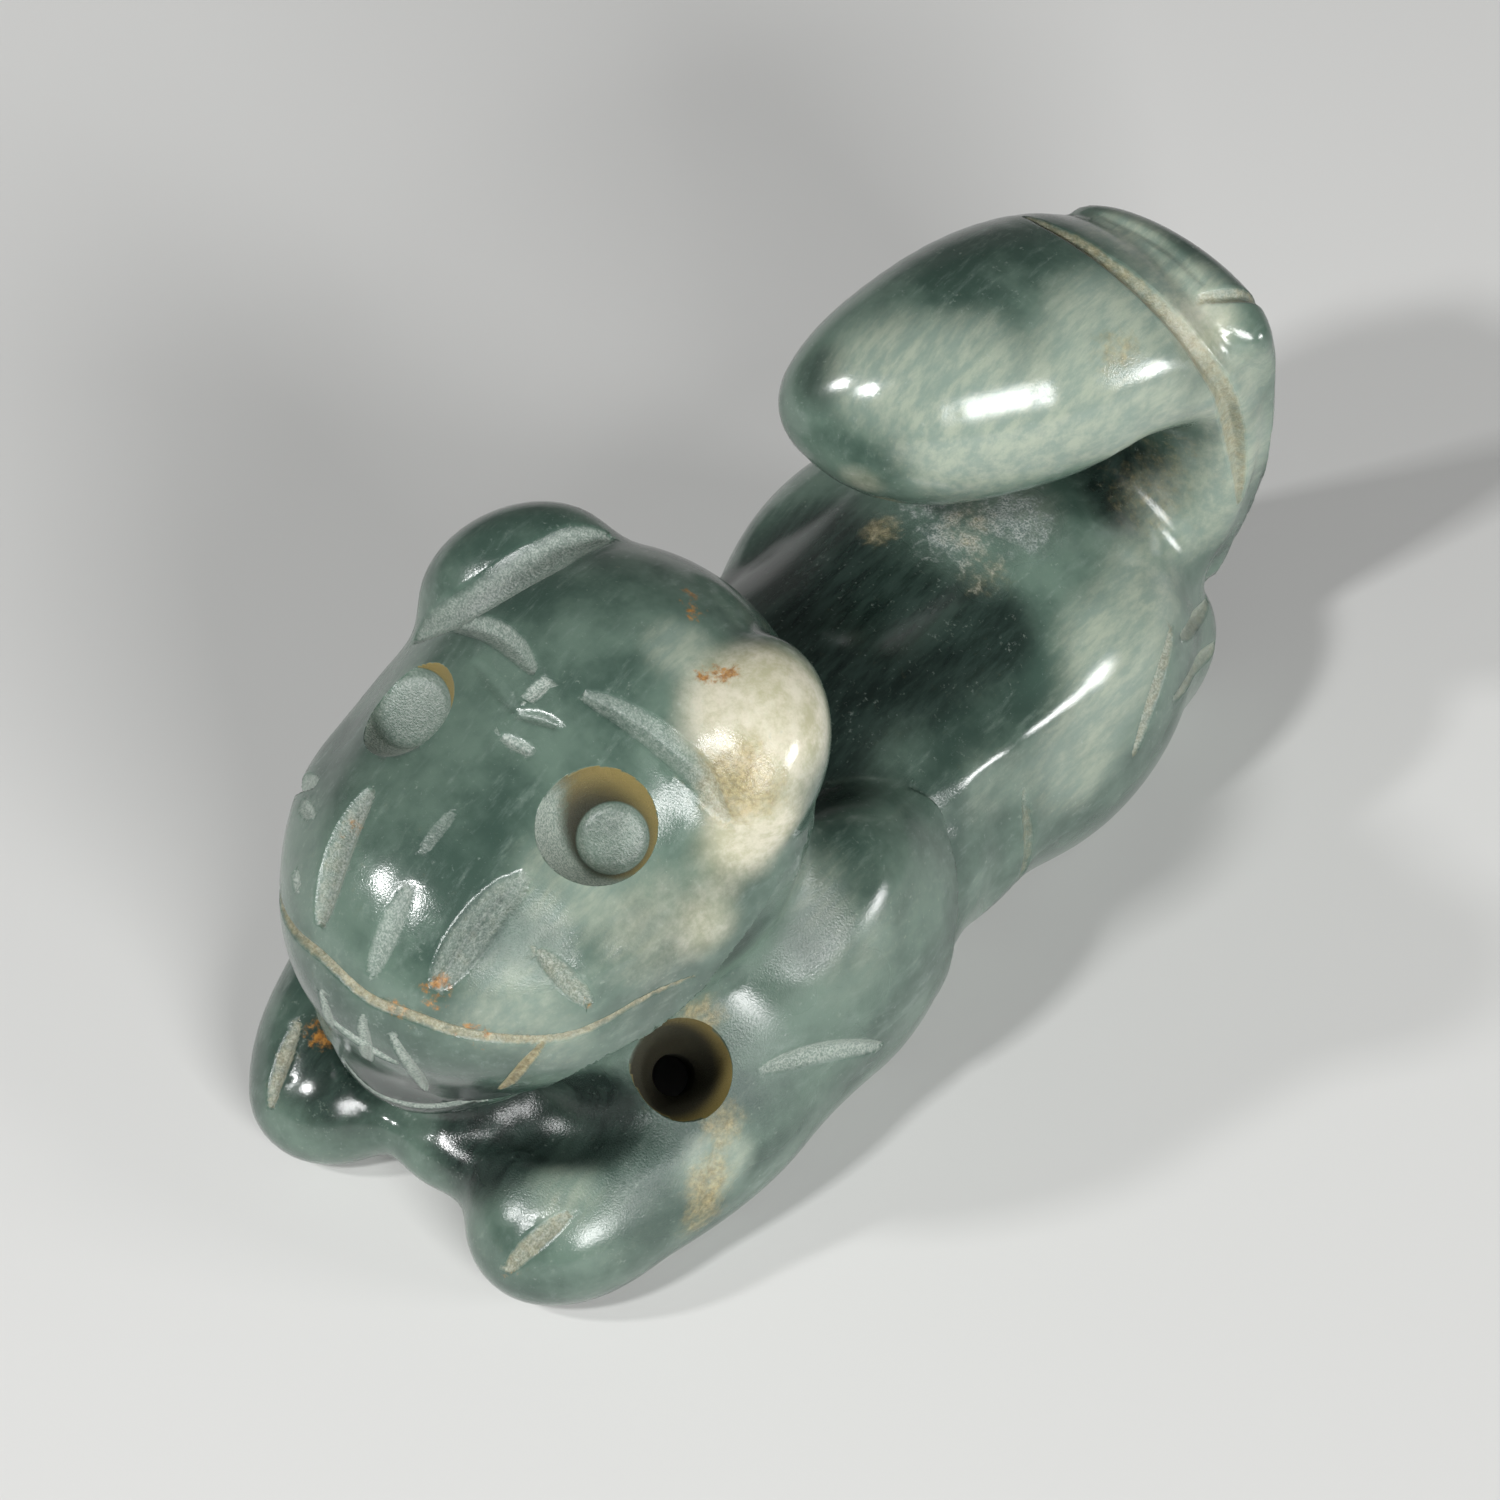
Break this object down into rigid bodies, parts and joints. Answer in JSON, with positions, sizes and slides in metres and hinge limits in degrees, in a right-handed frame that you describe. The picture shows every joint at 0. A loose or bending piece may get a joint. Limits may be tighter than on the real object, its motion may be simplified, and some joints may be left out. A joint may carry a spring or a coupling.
{
  "type": "jade big cat pendant",
  "caption": "Carved jade pendant of a crouching big cat with a raised head, drilled eyes, a tail curled forward over its back and suspension holes through the neck.",
  "frame": {"origin": "centre of the footprint box on the ground-flat underside", "axes": "nose towards -Y, tail towards +Y, the cat's own left towards +X, up +Z"},
  "size_m": [0.0294, 0.0628, 0.033],
  "materials": {
    "jade": "polished"
  },
  "bodies": {
    "root": {"jade_cat": "jade"}
  },
  "joints": []
}
